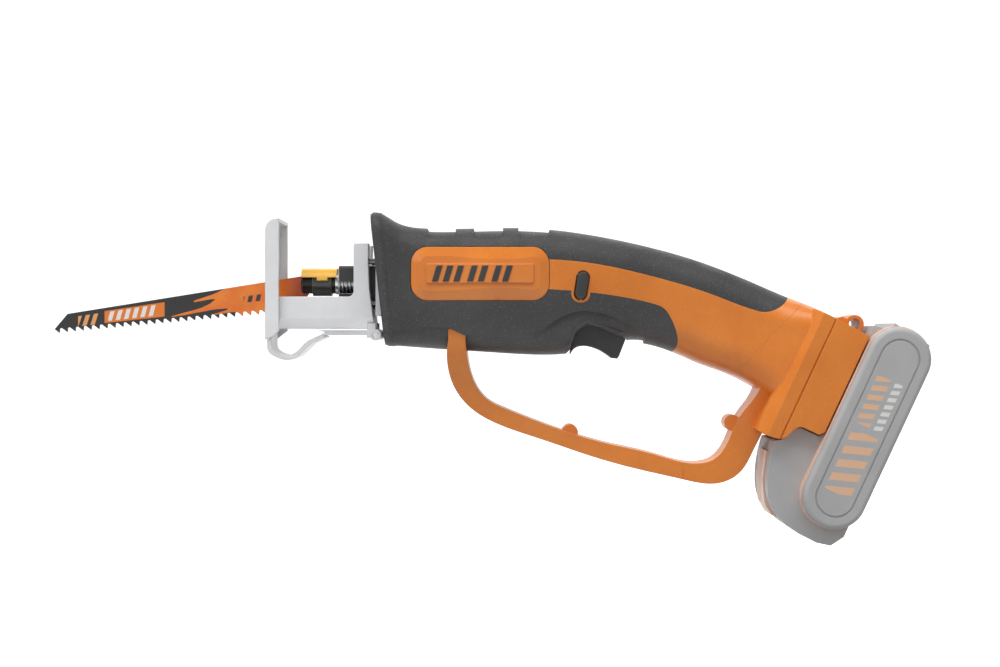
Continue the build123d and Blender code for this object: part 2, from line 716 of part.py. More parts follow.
with BuildPart() as rotor:
    add(round_bar(PINION_X[0], MOTOR_X1 + 0.8, 1.585))
    with BuildSketch(Plane.YZ.offset(99.0)):
        Circle(12.0)
        with PolarLocations(9.0, 5):
            Rectangle(8.0, 2.2, mode=Mode.SUBTRACT)
    extrude(amount=24.0)
    add(round_bar(MOTOR_X1 - 8.5, MOTOR_X1 - 3.4, 4.7))
    for turn in range(5):
        a = math.radians(36 + 72 * turn)
        add(round_bar(96.2, 125.8, 2.6, z=8.2 * math.sin(a), y=8.2 * math.cos(a)))
save(rotor.part, "motor_rotor")

# ---- switch and trigger spring ----
PLUNGER_X = (165.0, 168.0)
SWITCH_Z = (-8.5, 9.0)
with BuildPart() as switch:
    add(block(158, 184, -8.5, 8.5, *SWITCH_Z, edge=1.2))
    add(block(PLUNGER_X[0] - 0.3, PLUNGER_X[1] + 0.3, -1.8, 1.8, SWITCH_Z[0] - 1, 1.0), mode=Mode.SUBTRACT)
save(switch.part, "switch_body")
save(block(*PLUNGER_X, -1.5, 1.5, -24.8, -5.5) - trigger.part, "switch_plunger")
with BuildPart() as trigger_spring:
    with BuildLine():
        wind = Helix(2.6, 12.4, 3.3, center=(sum(PLUNGER_X) / 2, 0, -21.5))
    with BuildSketch(Plane(origin=wind @ 0, z_dir=wind % 0)):
        Circle(0.35)
    sweep()
save(trigger_spring.part, "trigger_spring")

# ---- shoe bracket, shoe and its hinge ----
BRACKET_HALF, SHEET = 17.5, 2.2
px, pz = SHOE_PIVOT
FLANGE_Z = -19.0  # where the side plates turn in
WEB_Z = -24.2
with BuildPart() as bracket:
    with BuildSketch(Plane.XZ):
        with BuildLine():
            Polyline(
                (28.6, -4.5), (28.6, 20.2), (36.4, 20.2), (36.2, 10), (36.8, -4), (38.4, -16), (39.5, WEB_Z),
                (-13.0, WEB_Z), (-13.0, -7.5), (25.6, -7.5),
            )
            ThreePointArc((25.6, -7.5), (27.72, -6.62), (28.6, -4.5))
        make_face()
    extrude(amount=BRACKET_HALF, both=True)
    with BuildSketch(Plane.YZ.offset(-20)) as inside_profile:
        with BuildLine():
            Polyline((-BRACKET_HALF + SHEET, 40), (-BRACKET_HALF + SHEET, FLANGE_Z + 0.6),
                     (-BRACKET_HALF + 5.6, WEB_Z + SHEET), (BRACKET_HALF - 5.6, WEB_Z + SHEET),
                     (BRACKET_HALF - SHEET, FLANGE_Z + 0.6), (BRACKET_HALF - SHEET, 40), close=True)
        make_face()
    extrude(amount=53.9, mode=Mode.SUBTRACT)
    for side in (1, -1):
        with BuildSketch(Plane.YZ.offset(-20)):
            with BuildLine():
                Polyline((side * (BRACKET_HALF + 1), FLANGE_Z), (side * BRACKET_HALF, FLANGE_Z),
                         (side * (BRACKET_HALF - 4.2), WEB_Z), (side * (BRACKET_HALF - 4.2), WEB_Z - 1),
                         (side * (BRACKET_HALF + 1), WEB_Z - 1), close=True)
            make_face()
        extrude(amount=80, mode=Mode.SUBTRACT)
    add(block(30, 45, -10, 10, -14, 30), mode=Mode.SUBTRACT)
    for y, z in BRACKET_SCREWS:
        add(round_bar(30, 45, 1.7, z=z, y=y), mode=Mode.SUBTRACT)
    add(cross_bar(px, pz, -13.4, 13.4, 3.4), mode=Mode.SUBTRACT)
    for side in (-1, 1):
        y0, y1 = sorted((side * 13.4, side * 16.4))
        add(cross_bar(px, pz, y0, y1, 3.0))
        add(block(35.5, 40.0, y0, y1, pz - 1.5, WEB_Z + 3.0))
    add(cross_bar(px, pz, -20, 20, 1.5), mode=Mode.SUBTRACT)
save(bracket.part, "shoe_bracket")
with BuildPart() as bracket_screws:
    for y, z in BRACKET_SCREWS:
        add(round_bar(33.9 - 2.2, 33.9, 2.6, z=z, y=y))
        add(round_bar(33.9, 48.0, 1.45, z=z, y=y))
        add(round_bar(33.9 - 2.4, 33.9 - 0.9, 1.2, z=z, y=y), mode=Mode.SUBTRACT)
save(bracket_screws.part, "bracket_screws")

SHOE_HALF = 21.0
SHOE_FRONT, SHOE_BACK, SHOE_TOP = -17.0, -9.9, 33.0
SHOE_T, STRIP_T = 1.8, 2.6
STRIP_BOW = [(-13.2, -38.6), (-5.3, -40.6), (0.4, -37.9), (6.7, -32.1), (13.5, -28.3)]


def moved_path(points, by):
    """A path moved sideways by a distance, to the left of its direction, with mitred corners."""
    moved = []
    for i, (x, z) in enumerate(points):
        sides = []
        for (x0, z0), (x1, z1) in zip(points[max(i - 1, 0) : i + 1], points[max(i, 1) : i + 2]):
            long = math.hypot(x1 - x0, z1 - z0)
            sides.append(((z0 - z1) / long, (x1 - x0) / long))
        first, last = sides[0], sides[-1]
        scale = by / (1 + first[0] * last[0] + first[1] * last[1])
        moved.append((x + (first[0] + last[0]) * scale, z + (first[1] + last[1]) * scale))
    return moved


STRIP_PATH = [(SHOE_FRONT, -20), (SHOE_FRONT, -33), *STRIP_BOW, (20.8, -27.6), (37.5, -27.6)]
with BuildPart() as strip:
    with BuildSketch(Plane.XZ):
        with BuildLine():
            low = STRIP_PATH
            high = moved_path(STRIP_PATH, STRIP_T)
            for path in (low, high):
                Line(path[0], path[1])
                Spline(*path[1:-1], tangents=((0, -1), (1, 0)))
                Line(path[-2], path[-1])
            Line(low[0], high[0])
            Line(low[-1], high[-1])
        make_face()
    extrude(amount=13.0, both=True)


def rim_block(inset, back, bottom, half):
    """The shoe's rim as a block with its rounded top front corner, or the hollow that lies inset inside it."""
    front, top = SHOE_FRONT + inset, SHOE_TOP - inset
    radius = 6.0 - inset
    bend = radius * (1 - math.sqrt(0.5))
    with BuildPart() as rim:
        with BuildSketch(Plane.XZ):
            with BuildLine():
                Polyline((front + radius, top), (back, top), *bottom, (front, top - radius))
                ThreePointArc((front, top - radius), (front + bend, top - bend), (front + radius, top))
            make_face()
        extrude(amount=half, both=True)
    return rim.part


with BuildPart() as shoe:
    add(rim_block(0, SHOE_BACK, [(SHOE_BACK, -25.3), (-15.4, -29.6), (SHOE_FRONT, -29.6)], SHOE_HALF))
    hollow = rim_block(SHOE_T, 10, [(10, -80), (SHOE_FRONT + SHOE_T, -80)], SHOE_HALF - SHOE_T)
    add(hollow, mode=Mode.SUBTRACT)
    add(strip.part)
    with BuildSketch(Plane.YZ.offset(SHOE_FRONT - 5)):
        SlotOverall(52, 16, rotation=90)
    extrude(amount=8, mode=Mode.SUBTRACT)
    add(cross_bar(px, pz, -13, 13, 2.9))
    add(cross_bar(px, pz, -20, 20, 1.55), mode=Mode.SUBTRACT)
save(shoe.part, "pivoting_shoe")
save(cross_bar(px, pz, -16.4, 16.4, 1.5), "shoe_hinge_pin")

# ---- front plate that closes the nose round the gearbox ----
plate_slab = side_prism([(39.4, 60), (41.9, 60), (55.5, -60), (53.0, -60)])
front_plate = (lofted(BODY, OVERMOULD + 0.05) & plate_slab) - block(30, 70, -17.1, 17.1, -17.6, 15.1)
save(front_plate, "front_plate")

# ---- terminal block in the port ----
save(rear_box(4, 13.2, -13.8, -1.0, 17, 0.8), "terminal_block")
BLADE_YS = (-9, -3, 3, 9)
with BuildPart() as terminals:
    for y in BLADE_YS:
        add(rear_box(13.2, 26, -10.8, -4.0, 0.4, y=y))
save(terminals.part, "terminal_blades")

# ---- battery ----
CELL_R, CELL_L, CELLS = 9.0, 65.0, 5
CELL_V, CELL_U0, CELL_STEP = 18.6, 7.2, 18.9
CORE_HALF, BAND_OUT, CAP_OUT = 25.2, 31.0, 37.4
CAP = (-12.0, 98.4, 1.4, 34.2)  # u from, to, v from, to
CAP_R = (CAP[3] - CAP[2]) / 2 - 0.01
TRIM = (CAP[0] - 0.5, CAP[1] + 0.5, CAP[2] - 0.5, CAP[3] + 0.5)


def on_battery(u, v):
    """(u, v) as local coordinates of REAR_PLANE."""
    return (v, -u)


with BuildPart() as core:
    with BuildSketch(REAR_PLANE):
        with BuildLine():
            foot = Spline(*[on_battery(u, v) for u, v in (
                (69.0, -20.6), (78.0, -19.0), (89.3, -15.2), (99.2, -8.9), (105.0, 1.4), (107.0, 10.0))])
            Polyline(
                foot @ 1, *[on_battery(u, v) for u, v in (
                    (107.4, 21.0), (105.7, 28.3), (98.8, 32.6), (-4.0, 32.8), (-9.6, 30.8), (-12.4, 10.0),
                    (-8.2, 9.2), (-6.6, 0.6), (55.2, 0.5), (57.1, -1.0), (57.1, -10.8))],
            )
            heel = Spline(*[on_battery(u, v) for u, v in (
                (57.1, -10.8), (59.6, -14.2), (66.0, -17.2), (68.2, -20.2))])
            Line(heel @ 1, foot @ 0)
        make_face()
    extrude(amount=CORE_HALF, both=True)
    add(rear_box(14.6, 60, -13.4, 2, PORT_HALF - 0.4))
    for side in (-1, 1):
        add(rear_box(10, 56.8, -6.0, -2.6, 2.0, y=side * (PORT_HALF - 0.7)), mode=Mode.SUBTRACT)
    for y in BLADE_YS:
        add(rear_box(10, 30, -14, -3.2, 0.8, y=y), mode=Mode.SUBTRACT)
    for i in range(CELLS):
        p = rear(CELL_U0 + i * CELL_STEP, CELL_V)
        add(cross_bar(p.X, p.Z, -40, 40, CELL_R + 0.15), mode=Mode.SUBTRACT)
    add(rear_box(4, 52, 3.4, 8.0, 20), mode=Mode.SUBTRACT)


# the release latch is a curved tongue in the battery's foot; its pocket lets it sink LATCH_TRAVEL deeper
LATCH_TRAVEL = 2.4
LATCH_OUTER = [(75.0, -21.0), (90.0, -15.9), (100.4, -10.0), (104.6, -4.0)]
LATCH_INNER = [(101.6, -0.4), (97.4, -5.4), (87.4, -10.8), (75.0, -16.0)]


def foot_prism(outline, half):
    """A (u, v) outline of the rear frame pushed through the width."""
    places = [rear(u, v) for u, v in outline]
    return side_prism([(p.X, p.Z) for p in places], half)


pocket_outer = [(74.7, -21.5), *LATCH_OUTER[1:3], (104.9, -4.0)]
pocket_inner = [(104.9, -4.0 + LATCH_TRAVEL), (101.9, -0.4 + LATCH_TRAVEL), (97.4, -5.4 + LATCH_TRAVEL),
                (87.4, -10.8 + LATCH_TRAVEL), (74.7, -16.0 + LATCH_TRAVEL)]
save(core.part - foot_prism(pocket_outer + pocket_inner, 13.3), "battery_core")
save(foot_prism(LATCH_OUTER + LATCH_INNER, 13.0), "battery_latch")

cells_here = [rear(CELL_U0 + i * CELL_STEP, CELL_V) for i in range(CELLS)]
with BuildPart() as cells:
    for p in cells_here:
        add(cross_bar(p.X, p.Z, -CELL_L / 2, CELL_L / 2, CELL_R))
save(cells.part, "battery_cells")
save(rear_box(5, 51, 5.0, 6.6, 19), "battery_board")

for side, word in ((-1, "left"), (1, "right")):
    trim = rear_box(*TRIM, (BAND_OUT - CORE_HALF) / 2, CAP_R + 0.5, y=side * (CORE_HALF + BAND_OUT) / 2)
    cap = rear_box(*CAP, (CAP_OUT - BAND_OUT) / 2, CAP_R, y=side * (CAP_OUT + BAND_OUT) / 2)
    outer_face = cap.faces().sort_by(Axis.Y)[0 if side < 0 else -1]
    cap = fillet(outer_face.edges(), 2.6)
    # a fine groove runs round the cap's outer face
    groove = rear_box(CAP[0] + 6, CAP[1] - 6, CAP[2] + 6, CAP[3] - 6, 0.5, CAP_R - 6, y=side * CAP_OUT)
    island = rear_box(
        CAP[0] + 6.9, CAP[1] - 6.9, CAP[2] + 6.9, CAP[3] - 6.9, 0.6, CAP_R - 6.9, y=side * CAP_OUT
    )
    cap = cap - (groove - island)
    for p in cells_here:
        bore = cross_bar(p.X, p.Z, -CELL_L / 2 - 0.2, CELL_L / 2 + 0.2, CELL_R + 0.15)
        trim = trim - bore
        cap = cap - bore
    save(trim, f"{word}_battery_trim")
    save(cap, f"{word}_battery_cap")
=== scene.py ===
"""Looks of the cordless reciprocating saw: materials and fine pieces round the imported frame."""

import json
import math

import bmesh
import bpy
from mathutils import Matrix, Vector
from mathutils.bvhtree import BVHTree


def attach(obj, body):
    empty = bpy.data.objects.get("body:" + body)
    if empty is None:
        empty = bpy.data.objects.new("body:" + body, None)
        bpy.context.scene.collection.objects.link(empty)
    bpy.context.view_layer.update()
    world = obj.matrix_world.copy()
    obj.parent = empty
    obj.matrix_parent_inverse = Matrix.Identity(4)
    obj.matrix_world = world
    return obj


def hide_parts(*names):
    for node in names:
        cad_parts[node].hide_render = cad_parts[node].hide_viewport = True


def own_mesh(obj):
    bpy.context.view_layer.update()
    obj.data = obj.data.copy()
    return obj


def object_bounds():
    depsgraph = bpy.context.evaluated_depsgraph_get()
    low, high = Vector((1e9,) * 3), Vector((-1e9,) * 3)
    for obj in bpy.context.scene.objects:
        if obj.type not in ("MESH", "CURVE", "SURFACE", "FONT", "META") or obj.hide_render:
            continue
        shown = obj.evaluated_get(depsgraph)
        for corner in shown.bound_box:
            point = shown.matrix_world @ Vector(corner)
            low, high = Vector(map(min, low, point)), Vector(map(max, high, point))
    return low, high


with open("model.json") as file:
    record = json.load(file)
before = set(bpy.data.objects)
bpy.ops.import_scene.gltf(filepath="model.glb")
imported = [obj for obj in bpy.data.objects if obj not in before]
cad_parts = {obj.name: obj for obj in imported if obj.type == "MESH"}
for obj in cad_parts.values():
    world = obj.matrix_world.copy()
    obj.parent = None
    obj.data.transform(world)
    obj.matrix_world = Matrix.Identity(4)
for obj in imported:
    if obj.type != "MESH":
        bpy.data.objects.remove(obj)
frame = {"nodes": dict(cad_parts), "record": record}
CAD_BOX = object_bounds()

MM = 0.001
NODES = frame["nodes"]


# ---- node helpers ----
class Recipe:
    """A material under construction: short calls that add nodes and link them."""

    def __init__(self, name):
        self.material = bpy.data.materials.new(name)
        self.material.use_nodes = True
        self.tree = self.material.node_tree
        self.shader = self.tree.nodes["Principled BSDF"]
        self.where = self.add("ShaderNodeTexCoord").outputs["Object"]

    def add(self, kind, **settings):
        node = self.tree.nodes.new(kind)
        for key, value in settings.items():
            setattr(node, key, value)
        return node

    def put(self, socket, value):
        """Links value to socket, or sets it when it is a plain number or colour."""
        if isinstance(value, bpy.types.NodeSocket):
            self.tree.links.new(value, socket)
        else:
            socket.default_value = value

    def noise(self, scale, detail=2.0, rough=0.5, stretch=(1, 1, 1)):
        place = self.add("ShaderNodeMapping")
        self.put(place.inputs["Vector"], self.where)
        place.inputs["Scale"].default_value = stretch
        texture = self.add("ShaderNodeTexNoise")
        self.put(texture.inputs["Vector"], place.outputs[0])
        texture.inputs["Scale"].default_value = scale
        texture.inputs["Detail"].default_value = detail
        texture.inputs["Roughness"].default_value = rough
        return texture.outputs["Fac"]

    def cells(self, scale):
        """Distance to the nearest of many scattered points."""
        texture = self.add("ShaderNodeTexVoronoi")
        self.put(texture.inputs["Vector"], self.where)
        texture.inputs["Scale"].default_value = scale
        return texture.outputs["Distance"]

    def ramp(self, value, low, high, start=0.0, end=1.0):
        """value remapped from low..high to start..end, and held there."""
        node = self.add("ShaderNodeMapRange")
        self.put(node.inputs["Value"], value)
        node.inputs["From Min"].default_value = low
        node.inputs["From Max"].default_value = high
        node.inputs["To Min"].default_value = start
        node.inputs["To Max"].default_value = end
        return node.outputs[0]

    def math(self, what, a, b=0.0):
        node = self.add("ShaderNodeMath", operation=what)
        self.put(node.inputs[0], a)
        self.put(node.inputs[1], b)
        return node.outputs[0]

    def mix(self, share, a, b):
        node = self.add("ShaderNodeMix", data_type="RGBA")
        self.put(node.inputs["Factor"], share)
        for socket, value in ((node.inputs["A"], a), (node.inputs["B"], b)):
            self.put(socket, value if isinstance(value, bpy.types.NodeSocket) else (*value, 1.0))
        return node.outputs["Result"]

    def edges(self, radius=0.5):
        """1 on sharp edges, 0 on open faces."""
        round_over = self.add("ShaderNodeBevel", samples=4)
        round_over.inputs["Radius"].default_value = radius * MM
        flat = self.add("ShaderNodeNewGeometry")
        meet = self.add("ShaderNodeVectorMath", operation="DOT_PRODUCT")
        self.put(meet.inputs[0], round_over.outputs[0])
        self.put(meet.inputs[1], flat.outputs["Normal"])
        return self.ramp(meet.outputs["Value"], 0.995, 0.86)

    def bump(self, height, depth_mm, rounding):
        """Fine relief over edges eased by rounding (mm)."""
        node = self.add("ShaderNodeBump")
        node.inputs["Strength"].default_value = 1.0
        node.inputs["Distance"].default_value = depth_mm * MM
        self.put(node.inputs["Height"], height)
        ease = self.add("ShaderNodeBevel", samples=4)
        ease.inputs["Radius"].default_value = rounding * MM
        self.put(node.inputs["Normal"], ease.outputs[0])
        self.put(self.shader.inputs["Normal"], node.outputs[0])

    def surface(self, colour, roughness, metal=0.0, **more):
        self.put(self.shader.inputs["Base Color"], colour)
        self.put(self.shader.inputs["Roughness"], roughness)
        self.shader.inputs["Metallic"].default_value = metal
        for key, value in more.items():
            self.shader.inputs[key].default_value = value
        return self.material


def moulded(name, colour, shade, rough=0.42, grain=2600, grain_depth=0.02, speck=0.0, speck_colour=None,
            edge_highlight_and_wear=(1, 1, 1), edge_highlight_and_wear_share=0.25, coat=0.0, ease=0.5):
    """Moulded plastic: cloudy colour, fine erosion grain, paler edges (painted edge highlight and wear) and
    optional speckle.
    """
    m = Recipe(name)
    cloud = m.ramp(m.noise(38, 3), 0.35, 0.65)
    tint = m.mix(cloud, colour, shade)
    if speck:
        dots = m.ramp(m.cells(1050), 0.30, 0.16)
        chosen = m.ramp(m.noise(800, 1), 0.50, 0.56)
        tint = m.mix(m.math("MULTIPLY", m.math("MULTIPLY", dots, chosen), speck), tint, speck_colour)
    # paler edges: painted edge highlight and wear, broken up by noise
    rim = m.math("MULTIPLY", m.edges(), m.ramp(m.noise(300, 2), 0.4, 0.6, 0.3, edge_highlight_and_wear_share * 2))
    tint = m.mix(rim, tint, edge_highlight_and_wear)
    fine = m.noise(grain, 2, 0.6)
    rough_map = m.ramp(m.noise(120, 3), 0.3, 0.7, rough - 0.05, rough + 0.07)
    m.bump(fine, grain_depth, ease)
    return m.surface(tint, rough_map, 0.0, **{"Coat Weight": coat, "Coat Roughness": 0.25, "IOR": 1.47})


def metal(name, colour, shade, rough=0.3, stretch=(1, 1, 1), lines=700, depth=0.006, edge_highlight_and_wear=None,
          metallic=1.0, ease=0.4):
    """Worked metal: drawn or ground lines along the least stretched axis, stains and bright edges (painted
    edge highlight and wear).
    """
    m = Recipe(name)
    stain = m.ramp(m.noise(60, 4), 0.35, 0.65)
    tint = m.mix(stain, colour, shade)
    brushed = m.noise(lines, 3, 0.6, stretch)
    tint = m.mix(m.ramp(brushed, 0.35, 0.65, 0.0, 0.18), tint, shade)
    # bright edges: painted edge highlight and wear
    if edge_highlight_and_wear:
        tint = m.mix(m.math("MULTIPLY", m.edges(0.35), 0.7), tint, edge_highlight_and_wear)
    worked = m.ramp(brushed, 0.3, 0.7, rough - 0.06, rough + 0.06)
    rough_map = m.math("ADD", worked, m.ramp(stain, 0, 1, 0, 0.05))
    m.bump(brushed, depth, ease)
    return m.surface(tint, rough_map, metallic)


# ---- materials ----
# the third orange is the paler colour painted on edges: painted edge highlight and wear
ORANGE, ORANGE_DEEP, ORANGE_EDGE_HIGHLIGHT_AND_WEAR = (0.80, 0.235, 0.020), (0.72, 0.195, 0.014), (0.92, 0.40, 0.10)
CHARCOAL, CHARCOAL_DEEP = (0.040, 0.040, 0.041), (0.030, 0.030, 0.031)
ORANGE_SPECK = (0.95, 0.40, 0.10)

LOOKS = {
    "grip_rubber": moulded("grip_rubber", CHARCOAL, CHARCOAL_DEEP, 0.56, 1100, 0.22, 0.8,
                           (0.13, 0.13, 0.135), (0.10, 0.10, 0.10), 0.3, 0.0, 0.5),
    "orange_shell": moulded("orange_shell", ORANGE, ORANGE_DEEP, 0.38, 1300, 0.11, 0.4, ORANGE_SPECK,
                            ORANGE_EDGE_HIGHLIGHT_AND_WEAR, 0.25, 0.1),
    "badge_orange": moulded("badge_orange", ORANGE, ORANGE_DEEP, 0.30, 2600, 0.02, 0.0, None,
                            ORANGE_EDGE_HIGHLIGHT_AND_WEAR, 0.25, 0.25),
    "guard_orange": moulded("guard_orange", ORANGE, ORANGE_DEEP, 0.36, 1300, 0.10, 0.35, ORANGE_SPECK,
                            ORANGE_EDGE_HIGHLIGHT_AND_WEAR, 0.25, 0.1, 0.9),
    "rear_orange": moulded("rear_orange", ORANGE, ORANGE_DEEP, 0.37, 1300, 0.11, 0.4, ORANGE_SPECK,
                           ORANGE_EDGE_HIGHLIGHT_AND_WEAR, 0.25, 0.1, 0.7),
    "button_dark": moulded("button_dark", (0.030, 0.030, 0.031), (0.022, 0.022, 0.023), 0.42, 2400, 0.03,
                           0.0, None, (0.12, 0.12, 0.12), 0.3, 0.0, 0.7),
    "screw_steel": metal("screw_steel", (0.20, 0.20, 0.21), (0.12, 0.12, 0.13), 0.34, edge_highlight_and_wear=(0.5, 0.5, 0.5)),
    "front_dark": moulded("front_dark", (0.034, 0.034, 0.035), (0.025, 0.025, 0.026), 0.5),
    "gearbox_alloy": metal("gearbox_alloy", (0.55, 0.55, 0.56), (0.44, 0.44, 0.45), 0.45, depth=0.02),
    "bush_bronze": metal("bush_bronze", (0.62, 0.42, 0.20), (0.50, 0.33, 0.15), 0.38, depth=0.012),
    "seal_felt": moulded("seal_felt", (0.22, 0.20, 0.17), (0.16, 0.14, 0.12), 0.9, 1200, 0.25, 0.0, None,
                         (0.3, 0.28, 0.25)),
    "satin_metal": metal("satin_metal", (0.74, 0.745, 0.76), (0.68, 0.685, 0.70), 0.36, (1, 1, 0.08), 900,
                         0.008, (0.90, 0.90, 0.91), 0.30, 0.9),
    "hinge_steel": metal("hinge_steel", (0.62, 0.62, 0.63), (0.5, 0.5, 0.51), 0.3),
    "spindle_steel": metal("spindle_steel", (0.60, 0.60, 0.61), (0.5, 0.5, 0.51), 0.26, (0.05, 1, 1),
                           edge_highlight_and_wear=(0.8, 0.8, 0.8)),
    "collar_black": metal("collar_black", (0.055, 0.052, 0.05), (0.035, 0.034, 0.033), 0.42,
                          edge_highlight_and_wear=(0.30, 0.29, 0.28)),
    "spring_steel": metal("spring_steel", (0.50, 0.50, 0.51), (0.38, 0.38, 0.39), 0.25),
    "motor_steel": metal("motor_steel", (0.56, 0.56, 0.55), (0.46, 0.46, 0.45), 0.3, (0.06, 1, 1)),
    "magnet_grey": moulded("magnet_grey", (0.05, 0.05, 0.055), (0.035, 0.035, 0.04), 0.6, 1500, 0.06),
    "motor_nylon": moulded("motor_nylon", (0.03, 0.03, 0.03), (0.02, 0.02, 0.02), 0.45),
    "brush_carbon": moulded("brush_carbon", (0.02, 0.02, 0.02), (0.03, 0.03, 0.03), 0.5),
    "winding_copper": metal("winding_copper", (0.62, 0.28, 0.12), (0.5, 0.2, 0.08), 0.3, (0.05, 1, 1),
                            1500, 0.05),
    "switch_black": moulded("switch_black", (0.025, 0.025, 0.025), (0.018, 0.018, 0.018), 0.4),
    "contact_brass": metal("contact_brass", (0.75, 0.55, 0.25), (0.62, 0.44, 0.18), 0.28,
                           edge_highlight_and_wear=(0.9, 0.75, 0.4)),
    "battery_trim": moulded("battery_trim", (0.82, 0.56, 0.42), (0.78, 0.50, 0.37), 0.42, 2300, 0.02,
                            0.0, None, (0.9, 0.7, 0.6), 0.25),
    "cell_wrap": moulded("cell_wrap", (0.05, 0.22, 0.14), (0.04, 0.18, 0.11), 0.25, 900, 0.01, 0.0, None,
                         (0.4, 0.5, 0.4)),
    "board_green": moulded("board_green", (0.02, 0.14, 0.05), (0.015, 0.11, 0.04), 0.3, 500, 0.03, 0.0, None,
                           (0.3, 0.4, 0.2)),
}


# each line along the blade, in metres: its slope and its height where x is 0
TOOTH_LINE, BACK_LINE = (0.0907, -0.01478), (0.1606, 0.0036)
# (height across the blade, how far forward in tenths of a metre the orange begins)
FLAMES = [(0.0, 0.34), (0.07, 0.36), (0.13, 0.47), (0.20, 0.40), (0.29, 0.45), (0.38, 0.69), (0.47, 0.53),
          (0.58, 0.475), (0.67, 0.47), (0.76, 0.58), (0.85, 0.47), (0.94, 0.40), (1.0, 0.39)]

# plain blocks and striped bars in place of a label: (from x, to x, from height, to height), striped, colour
LABEL_BLOCKS = [
    ((-0.1045, -0.0725, 0.26, 0.86), False, (0.80, 0.20, 0.015)),
    ((-0.1025, -0.0765, 0.34, 0.80), True, (0.82, 0.82, 0.80)),
    ((-0.1185, -0.1075, 0.24, 0.80), True, (0.80, 0.36, 0.12)),
    ((-0.0310, -0.0200, 0.42, 0.66), True, (0.03, 0.02, 0.02)),
]


def printed_blade():
    """Black paint with an orange flame print that runs back to the shank, and bare ground teeth."""
    m = Recipe("blade_paint")
    axes = m.add("ShaderNodeSeparateXYZ")
    m.put(axes.inputs[0], m.where)
    x, z = axes.outputs["X"], axes.outputs["Z"]
    # height across the blade, 0 on the toothed edge line and 1 on the back
    tooth_line, back_line = (
        m.math("ADD", m.math("MULTIPLY", x, slope), start) for slope, start in (TOOTH_LINE, BACK_LINE)
    )
    across = m.math("DIVIDE", m.math("SUBTRACT", z, tooth_line), m.math("SUBTRACT", back_line, tooth_line))
    # flames: the orange begins further forward or back by height, along slightly rising tongues
    height = m.math("SUBTRACT", across, m.math("MULTIPLY", m.math("ADD", x, 0.05), 7.5))
    edge = m.add("ShaderNodeFloatCurve")
    line = edge.mapping.curves[0]
    line.points[0].location = FLAMES[0]
    line.points[1].location = FLAMES[-1]
    for spot in FLAMES[1:-1]:
        line.points.new(*spot)
    edge.mapping.update()
    m.put(edge.inputs["Value"], height)
    begin = m.math("MULTIPLY", edge.outputs[0], -0.1)
    wobble = m.math("MULTIPLY", m.math("SUBTRACT", m.noise(220, 1), 0.5), 0.004)
    flame = m.ramp(m.math("SUBTRACT", m.math("ADD", x, wobble), begin), 0.0, 0.0004)
    hot = m.mix(m.ramp(m.noise(90, 2), 0.4, 0.6), (0.80, 0.17, 0.012), (0.86, 0.23, 0.02))
    hot = m.mix(m.ramp(x, -0.016, -0.002), hot, (0.58, 0.085, 0.008))
    paint = m.mix(flame, (0.012, 0.012, 0.012), hot)

    def patch(x0, x1, v0, v1):
        """1 inside a block between two places along the blade and two heights across it."""
        along = m.math("MULTIPLY", m.ramp(x, x0, x0 + 0.0003), m.ramp(x, x1, x1 - 0.0003))
        up = m.math("MULTIPLY", m.ramp(across, v0, v0 + 0.03), m.ramp(across, v1, v1 - 0.03))
        return m.math("MULTIPLY", along, up)

    slant = m.math("SUBTRACT", x, m.math("MULTIPLY", across, 0.0035))
    stripes = m.ramp(m.math("SINE", m.math("MULTIPLY", slant, 1450)), -0.15, -0.05)
    for block, striped, colour in LABEL_BLOCKS:
        shown = m.math("MULTIPLY", patch(*block), stripes) if striped else patch(*block)
        paint = m.mix(shown, paint, colour)
    scratch = m.ramp(m.noise(900, 3, 0.7, (0.03, 1, 1)), 0.66, 0.74, 0.0, 0.35)
    paint = m.mix(scratch, paint, (0.35, 0.33, 0.31))
    bare = m.ramp(across, 0.035, 0.0)
    paint = m.mix(m.math("MULTIPLY", bare, 0.55), paint, (0.30, 0.30, 0.31))
    m.put(m.shader.inputs["Metallic"], m.math("MULTIPLY", bare, 0.6))
    m.put(m.shader.inputs["Base Color"], paint)
    m.put(m.shader.inputs["Roughness"], m.ramp(m.noise(160, 3), 0.3, 0.7, 0.26, 0.40))
    m.bump(m.noise(1400, 2), 0.004, 0.15)
    return m.material



def two_shot_lever():
    """A dark ring under a yellow sleeve, told apart by radius and by place along the stroke."""
    m = Recipe("lever_yellow")
    axes = m.add("ShaderNodeSeparateXYZ")
    m.put(axes.inputs[0], m.where)
    x, y, z = axes.outputs["X"], axes.outputs["Y"], axes.outputs["Z"]
    radius = m.math("SQRT", m.math("ADD", m.math("MULTIPLY", y, y), m.math("MULTIPLY", z, z)))
    ahead = m.ramp(x, 0.00605, 0.00595)
    behind = m.ramp(x, 0.01595, 0.01605)
    proud = m.ramp(radius, 0.00698, 0.00706)
    yellow = m.math("MAXIMUM", proud, m.math("MAXIMUM", ahead, behind))
    cloud = m.ramp(m.noise(60, 3), 0.35, 0.65)
    bright = m.mix(cloud, (0.86, 0.50, 0.040), (0.76, 0.40, 0.025))
    dark = m.mix(cloud, (0.050, 0.047, 0.045), (0.032, 0.031, 0.030))
    tint = m.mix(yellow, dark, bright)
    # paler edges: painted edge highlight and wear
    tint = m.mix(m.math("MULTIPLY", m.edges(0.4), 0.35), tint, (0.95, 0.70, 0.25))
    m.bump(m.noise(1600, 2, 0.6), 0.05, 0.4)
    return m.surface(tint, m.ramp(m.noise(120, 3), 0.3, 0.7, 0.30, 0.42))


REAR_TILT, BATTERY_TOP = 25.0, (0.2942, -0.0284)  # lean of the battery face, and its top corner (x, z)
CAP_FACE = 0.0372  # m: how far out the caps' outer faces are
